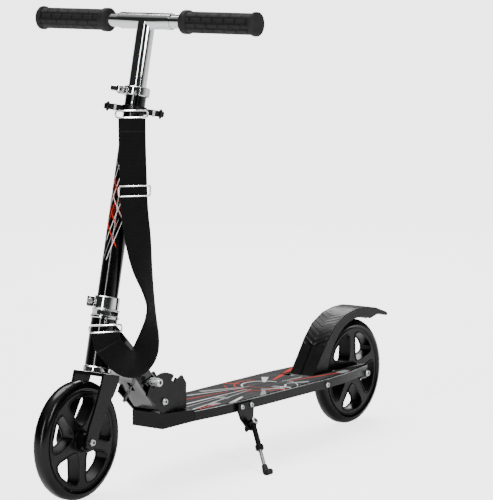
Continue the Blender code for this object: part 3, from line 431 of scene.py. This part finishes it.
def wire(name, points, radius, look, body, cyclic=False):
    """Round wire or bead through the points."""
    curve = bpy.data.curves.new(name, "CURVE")
    curve.dimensions = "3D"
    curve.bevel_depth = radius
    curve.bevel_resolution = 2
    curve.use_fill_caps = not cyclic
    spline = curve.splines.new("POLY")
    spline.points.add(len(points) - 1)
    for point, place in zip(spline.points, points):
        point.co = (*place, 1)
    spline.use_cyclic_u = cyclic
    spline.use_smooth = True
    return piece(name, curve, look, body)


def disc(name, centre, axis, radius, depth, look, body, sides=32):
    """A short cylinder, or a prism when it has few sides."""
    turn = Vector(axis).to_track_quat("Z", "Y").to_matrix().to_4x4()

    def build(bm):
        bmesh.ops.create_cone(bm, cap_ends=True, segments=sides, radius1=radius,
                              radius2=radius, depth=depth,
                              matrix=Matrix.Translation(centre) @ turn)

    return piece(name, mesh_from(name, build), look, body)


def arc(centre, radius, start, end, count):
    step = (end - start) / (count - 1)
    return [(centre[0] + radius * math.cos(start + step * i),
             centre[1] + radius * math.sin(start + step * i)) for i in range(count)]


def wheel_details(prefix, centre, body, look, first_gap):
    """Raised beads round the rim, the hub and each gap between the spokes."""
    half = [(0.0240, 3), (0.0275, 14), (0.0360, 22), (0.0500, 26.5), (0.0630, 29),
            (0.0715, 27.5), (0.0752, 22), (0.0762, 11)]
    outline = [(radius, -angle) for radius, angle in half]
    outline += [(radius, angle) for radius, angle in reversed(half)]
    for side, sign in (("left", 1), ("right", -1)):
        depth = 0.0120 * sign
        for label, radius in (("rim", 0.0822), ("hub", 0.0185)):
            ring = [Vector((centre.x + x, depth, centre.z + z))
                    for x, z in arc((0, 0), radius, 0, 2 * math.pi * 47 / 48, 48)]
            wire(f"{prefix}_{label}_bead_{side}", ring, 0.0012, look, body, True)
        for index in range(SPOKES):
            turn = 2 * math.pi * index / SPOKES + first_gap
            loop = []
            for radius, angle in outline:
                bearing = turn + math.radians(angle)
                loop.append(Vector((centre.x + radius * math.cos(bearing), depth,
                                    centre.z + radius * math.sin(bearing))))
            wire(f"{prefix}_gap_bead_{side}_{index + 1}", loop, 0.0015, look, body, True)


def deck_edges(look):
    """Thin bright line along the top edge of the deck on each side."""
    edge = [(0.150, 0.0545), (0.090, 0.0615), (0.030, 0.0650), (-0.040, 0.0660),
            (-0.245, 0.0660), (-0.300, 0.0620), (-0.350, 0.0540), (-0.402, 0.0440)]
    for label, sign in (("left", 1), ("right", -1)):
        points = [Vector((x, sign * (y - 0.0003), 0.1145)) for x, y in edge]
        wire("deck_edge_" + label, points, 0.0006, look, "deck")


def brake_ridges(look):
    """Raised rib along each side of the brake shell."""
    arch = [(-0.2600, 0.1240), (-0.2770, 0.1455), (-0.2972, 0.1730), (-0.3230, 0.1983),
            (-0.3565, 0.2140), (-0.3900, 0.2202)]
    for label, sign in (("left", 1), ("right", -1)):
        points = [Vector((x, sign * 0.0263, z)) for x, z in arch]
        wire("brake_ridge_" + label, points, 0.0013, look, "brake")


def recess_shade_discs(look):
    """Painted shade: dark discs for the recesses in the left bolt heads, the grips' ends and the
    lock pin.
    """
    for name, body, radius in (("rear_axle_bolt", "deck", 0.0030),
                               ("brake_pivot_bolt", "deck", 0.0022),
                               ("front_axle_bolt", "steering", 0.0030),
                               ("fold_pivot_bolt", "deck", 0.0030),
                               ("stand_bolt_front", "deck", 0.0020),
                               ("stand_bolt_rear", "deck", 0.0020)):
        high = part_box(name)[1]
        middle = NODE_CENTRES[name]
        # painted shade: a thin dark disc where the socket's shade falls
        disc(name + "_socket", (middle.x, high[1] - 0.00045, middle.z), (0, 1, 0), radius,
             0.0011, look, body, 6)
    for label, sign in (("left", 1), ("right", -1)):
        cap = on_stem(0, GRIP_END * sign, BAR_UP)
        disc("grip_end_recess_shade_" + label, cap, (0, 1, 0), 0.0042, 0.0004, look,
             "bar_" + label, 4)
    pin = NODE_CENTRES["lock_pin"]
    disc("lock_pin_dimple_shade", (pin.x, 0.05255, pin.z), (0, 1, 0), 0.0032, 0.0011, look,
         "lock", 24)


def clip_hooks(black, silver):
    """C-shaped hooks and silver bands at the ends of the grip clip."""
    side = AHEAD * math.cos(CLIP_TURN) + Vector((0, math.sin(CLIP_TURN), 0))
    for label, sign in (("left", 1), ("right", -1)):
        out = AHEAD * (-math.sin(CLIP_TURN) * sign) + Vector((0, math.cos(CLIP_TURN) * sign, 0))
        middle = on_stem(0, 0, CLIP_UP) + out * 0.0450
        hook = [middle + UPWARD * (0.0065 * math.cos(a)) + side * (0.0065 * math.sin(a))
                for a in [math.radians(-60 + 25 * i) for i in range(11)]]
        wire("grip_hook_" + label, hook, 0.0022, black, "steering")
        band = on_stem(0, 0, CLIP_UP) + out * 0.0330
        disc("grip_hook_band_" + label, band, out, 0.0062, 0.0040, silver, "steering")


def smooth_route(points, per_span):
    """Catmull-Rom curve through points of any dimension."""
    padded = [points[0]] + list(points) + [points[-1]]
    result = []
    for i in range(1, len(padded) - 2):
        before, start, end, after = padded[i - 1:i + 3]
        for k in range(per_span):
            t = k / per_span
            weights = (-0.5 * t + t * t - 0.5 * t ** 3, 1 - 2.5 * t * t + 1.5 * t ** 3,
                       0.5 * t + 2 * t * t - 1.5 * t ** 3, -0.5 * t * t + 0.5 * t ** 3)
            corners = (before, start, end, after)
            result.append([sum(w * c[d] for w, c in zip(weights, corners))
                           for d in range(len(start))])
    result.append(list(padded[-2]))
    return result


def ribbon(name, stations, half_width, look):
    """Flat webbing along stations (x, y, z, turn), with its width in U and its length
    in V, both in metres."""
    columns = 6

    def build(bm):
        uv = bm.loops.layers.uv.new("UVMap")
        rows = []
        travelled = 0.0
        for i, (x, y, z, share) in enumerate(stations):
            here = Vector((x, y, z))
            before = Vector(stations[max(i - 1, 0)][:3])
            after = Vector(stations[min(i + 1, len(stations) - 1)][:3])
            travelled += (here - before).length
            run = (after - before).normalized()
            turn = share * math.pi / 2
            facing = TOWARDS * math.cos(turn) - ACROSS * math.sin(turn)
            width = facing.cross(run).normalized()
            row = []
            for k in range(columns + 1):
                reach = half_width * (2 * k / columns - 1)
                row.append((bm.verts.new(here + width * reach), (reach, travelled)))
            rows.append(row)
        for first, second in zip(rows, rows[1:]):
            for k in range(columns):
                corners = (first[k], first[k + 1], second[k + 1], second[k])
                face = bm.faces.new([corner[0] for corner in corners])
                face.smooth = True
                for loop, corner in zip(face.loops, corners):
                    loop[uv].uv = corner[1]

    strap = piece(name, mesh_from(name, build), look, None)
    thick = strap.modifiers.new("Thickness", "SOLIDIFY")
    thick.thickness = STRAP_THICKNESS
    thick.offset = 0.0
    return strap


def make_strap(look):
    """Carry strap from the upper ring, twisted past the down tube, to the lower ring."""
    route = [(0.2808, 0.0243, 0.6275, 0.00), (0.2861, 0.0290, 0.5834, 0.00),
             (0.2901, 0.0340, 0.5256, 0.00), (0.2927, 0.0380, 0.4809, 0.00),
             (0.2913, 0.0430, 0.4342, -0.06), (0.2846, 0.0460, 0.3883, -0.30),
             (0.2726, 0.0480, 0.3500, -0.56), (0.2658, 0.0500, 0.3172, -0.66),
             (0.2677, 0.0520, 0.2888, -0.56), (0.2745, 0.0540, 0.2627, -0.32),
             (0.2850, 0.0550, 0.2410, -0.08), (0.3000, 0.0550, 0.2262, 0.00),
             (0.3198, 0.0540, 0.2215, 0.00), (0.3400, 0.0520, 0.2282, 0.00),
             (0.3530, 0.0470, 0.2410, 0.00), (0.3595, 0.0345, 0.2570, 0.00),
             (0.3610, 0.0310, 0.2775, 0.00)]
    strap = ribbon("carry_strap", smooth_route(route, 8), STRAP_HALF_WIDTH, look)
    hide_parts("strap_webbing")
    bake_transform(strap)


def make_buckle(look):
    """Wire slide buckle on the webbing."""
    centre = Vector((0.2942, 0.0397, 0.5080))
    half_width, half_height, corner, radius = 0.0270, 0.0085, 0.0035, 0.0016
    path = []
    for i, (right, up) in enumerate(((1, 1), (-1, 1), (-1, -1), (1, -1))):
        middle = (right * (half_width - corner), up * (half_height - corner))
        start = math.pi / 2 * i
        for side, height in arc(middle, corner, start, start + math.pi / 2, 4):
            path.append((side, height))
    sides = 10

    def build(bm):
        rings = []
        for i, (side, height) in enumerate(path):
            before, after = path[i - 1], path[(i + 1) % len(path)]
            run = Vector((after[0] - before[0], after[1] - before[1])).normalized()
            here = centre + ACROSS * side + Vector((0, 0, height))
            out = ACROSS * run.y - Vector((0, 0, run.x))
            rings.append([bm.verts.new(here + (out * math.cos(turn) + TOWARDS * math.sin(turn))
                                       * radius)
                          for turn in [2 * math.pi * k / sides for k in range(sides)]])
        for i, ring in enumerate(rings):
            following = rings[(i + 1) % len(rings)]
            for k in range(sides):
                face = bm.faces.new((ring[k], ring[(k + 1) % sides],
                                     following[(k + 1) % sides], following[k]))
                face.smooth = True

    buckle = piece("slide_buckle", mesh_from("slide_buckle", build), look, None)
    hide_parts("strap_buckle")
    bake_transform(buckle)


# ---------------------------------------------------------------- looks
def dress(looks):
    """Gives every CAD node its finish."""
    chosen = {}
    groups = {
        "paint": ("deck_platform", "front_block", "quadrant_plate_left",
                  "quadrant_plate_right", "fork", "stand_bracket", "stand_leg_upper"),
        "gloss": ("down_tube", "head_tube"),
        "stem": ("stem_tube",),
        "plastic": ("front_rim", "rear_rim", "grip_clip", "stand_collar"),
        "tyre": ("front_tyre", "rear_tyre"),
        "brake": ("heel_brake",),
        "rubber": ("grip_left", "grip_right", "stand_foot"),
        "sheet": ("grip_sheet",),
        "knurl": ("lock_pin",),
        "chrome": ("lower_cup", "upper_cup", "headset_nut", "lock_washer", "lower_clamp",
                   "upper_clamp", "clamp_lever", "t_bar", "bar_tube_left",
                   "bar_tube_right", "strap_ring_upper", "strap_ring_lower",
                   "strap_hook_upper", "strap_hook_lower", "strap_buckle"),
    }
    for look, names in groups.items():
        for name in names:
            chosen[name] = looks[look]
    for name, node in NODES.items():
        node.data.materials.clear()
        node.data.materials.append(chosen.get(name, looks["zinc"]))


def soften_edges():
    """Small rounded edges on the flat-sided pieces, so that they catch the light."""
    for name in ("deck_platform", "front_block", "quadrant_plate_left",
                 "quadrant_plate_right", "fork", "stand_bracket"):
        bevel = NODES[name].modifiers.new("Edge", "BEVEL")
        bevel.width = 0.0007
        bevel.segments = 2
        bevel.limit_method = "ANGLE"
        bevel.angle_limit = math.radians(45)


def smoothing_group():
    """Geometry nodes that weld each mesh and shade it smooth up to 32 degrees."""
    group = bpy.data.node_groups.new("smooth_by_angle", "GeometryNodeTree")
    group.interface.new_socket("Geometry", in_out="INPUT", socket_type="NodeSocketGeometry")
    group.interface.new_socket("Geometry", in_out="OUTPUT", socket_type="NodeSocketGeometry")
    nodes, links = group.nodes, group.links
    weld = nodes.new("GeometryNodeMergeByDistance")
    weld.inputs["Distance"].default_value = 0.000005
    faces = nodes.new("GeometryNodeSetShadeSmooth")
    faces.domain = "FACE"
    edges = nodes.new("GeometryNodeSetShadeSmooth")
    edges.domain = "EDGE"
    angle = nodes.new("GeometryNodeInputMeshEdgeAngle")
    gentle = nodes.new("FunctionNodeCompare")
    gentle.operation = "LESS_THAN"
    gentle.inputs["B"].default_value = math.radians(32)
    start = nodes.new("NodeGroupInput")
    end = nodes.new("NodeGroupOutput")
    links.new(start.outputs[0], weld.inputs["Geometry"])
    links.new(weld.outputs["Geometry"], faces.inputs["Geometry"])
    links.new(faces.outputs["Geometry"], edges.inputs["Geometry"])
    links.new(angle.outputs["Unsigned Angle"], gentle.inputs["A"])
    links.new(gentle.outputs["Result"], edges.inputs["Shade Smooth"])
    links.new(edges.outputs["Geometry"], end.inputs[0])
    return group


def smooth_rounds():
    """Round shading on every CAD node."""
    group = smoothing_group()
    for node in NODES.values():
        modifier = node.modifiers.new("Smooth", "NODES")
        modifier.node_group = group


# ---------------------------------------------------------------- studio
def area_light(name, location, target, size, power):
    data = bpy.data.lights.new(name, "AREA")
    data.shape = "RECTANGLE"
    data.size, data.size_y = size
    data.energy = power
    lamp = bpy.data.objects.new(name, data)
    bpy.context.scene.collection.objects.link(lamp)
    lamp.location = location
    lamp.rotation_euler = (Vector(target) - Vector(location)).to_track_quat("-Z", "Y").to_euler()


def make_studio():
    floor_look = Shader("pale_floor", (0.92, 0.92, 0.925), 0.6)
    floor_look.uneven("Roughness", 4, 0.55, 0.65)
    floor_look.surface.inputs["Emission Color"].default_value = (1, 1, 1, 1)
    seen = floor_look.tree.nodes.new("ShaderNodeLightPath").outputs["Is Camera Ray"]
    glow = floor_look.maths("ADD", 0.12, floor_look.maths("MULTIPLY", seen, 2.6))
    floor_look.connect(glow, floor_look.surface.inputs["Emission Strength"])

    def build(bm):
        bmesh.ops.create_grid(bm, x_segments=1, y_segments=1, size=45)

    floor = piece("floor", mesh_from("floor", build), floor_look.material, None)
    floor.location.z = -0.0002
    make_surroundings()
    sun = bpy.data.lights.new("sky_light", "SUN")
    sun.energy = 2.8
    sun.angle = math.radians(40)
    lamp = bpy.data.objects.new("sky_light", sun)
    bpy.context.scene.collection.objects.link(lamp)
    lamp.rotation_euler = (math.radians(18), math.radians(-14), 0)
    area_light("key", (1.2, 2.6, 2.2), (0.1, 0, 0.35), (0.35, 1.8), 48)
    area_light("side", (3.4, 0.2, 1.2), (0.1, 0, 0.4), (0.25, 2.2), 42)
    area_light("back", (-2.4, -1.6, 2.0), (0, 0, 0.4), (0.6, 1.6), 24)


def make_surroundings():
    """Studio with a bright ceiling, dark walls and a pale horizon, for reflections."""
    world = bpy.data.worlds.new("studio")
    bpy.context.scene.world = world
    world.use_nodes = True
    nodes, links = world.node_tree.nodes, world.node_tree.links
    place = nodes.new("ShaderNodeTexCoord")
    split = nodes.new("ShaderNodeSeparateXYZ")
    ramp = nodes.new("ShaderNodeValToRGB")
    links.new(place.outputs["Generated"], split.inputs[0])
    links.new(split.outputs[2], ramp.inputs["Fac"])
    stops = ramp.color_ramp.elements
    stops[0].position = 0.0
    stops[0].color = (0.85, 0.85, 0.86, 1)
    stops[1].position = 1.0
    stops[1].color = (1.0, 1.0, 1.0, 1)
    for position, level in ((0.05, 0.45), (0.12, 0.03), (0.55, 0.03), (0.78, 0.50)):
        stop = stops.new(position)
        stop.color = (level, level, level, 1)
    background = nodes["Background"]
    links.new(ramp.outputs["Color"], background.inputs["Color"])
    background.inputs["Strength"].default_value = 0.85


def make_camera():
    data = bpy.data.cameras.new("camera")
    data.sensor_width = 36
    data.lens = 183.37
    data.clip_end = 60
    camera = bpy.data.objects.new("camera", data)
    bpy.context.scene.collection.objects.link(camera)
    camera.location = (3.5838, 2.6664, 0.9645)
    aim = Vector((-0.80128, -0.58379, -0.13089))
    camera.rotation_euler = aim.to_track_quat("-Z", "Y").to_euler()
    bpy.context.scene.camera = camera


def main():
    looks = {
        "paint": black_paint(), "gloss": gloss_paint(), "stem": printed_stem(),
        "plastic": moulded_plastic(), "tyre": gloss_tyre(), "brake": chevron_plastic(),
        "rubber": ribbed_rubber(), "sheet": standing_surface(), "knurl": knurled_metal(),
        "chrome": metal("chrome", (0.80, 0.81, 0.82), 0.06, 0.14, 50),
        "zinc": metal("zinc", (0.58, 0.59, 0.60), 0.24, 0.36, 90),
        # painted shade: near-black finish of the discs that stand in for the shade in recesses
        "recess": Shader("painted_recess_shade", (0.01, 0.01, 0.01), 0.6),
        "webbing": webbing(),
    }
    looks["recess"].uneven("Roughness", 200, 0.5, 0.7)
    looks = {name: look.material for name, look in looks.items()}
    dress(looks)
    soften_edges()
    smooth_rounds()
    wheel_details("front", NODE_CENTRES["front_rim"], "front_wheel", looks["plastic"],
                  math.pi / 2)
    wheel_details("rear", NODE_CENTRES["rear_rim"], "rear_wheel", looks["plastic"],
                  -math.pi / 2)
    deck_edges(looks["zinc"])
    brake_ridges(looks["gloss"])
    recess_shade_discs(looks["recess"])
    clip_hooks(looks["plastic"], looks["zinc"])
    make_strap(looks["webbing"])
    make_buckle(looks["chrome"])
    make_studio()
    make_camera()


main()
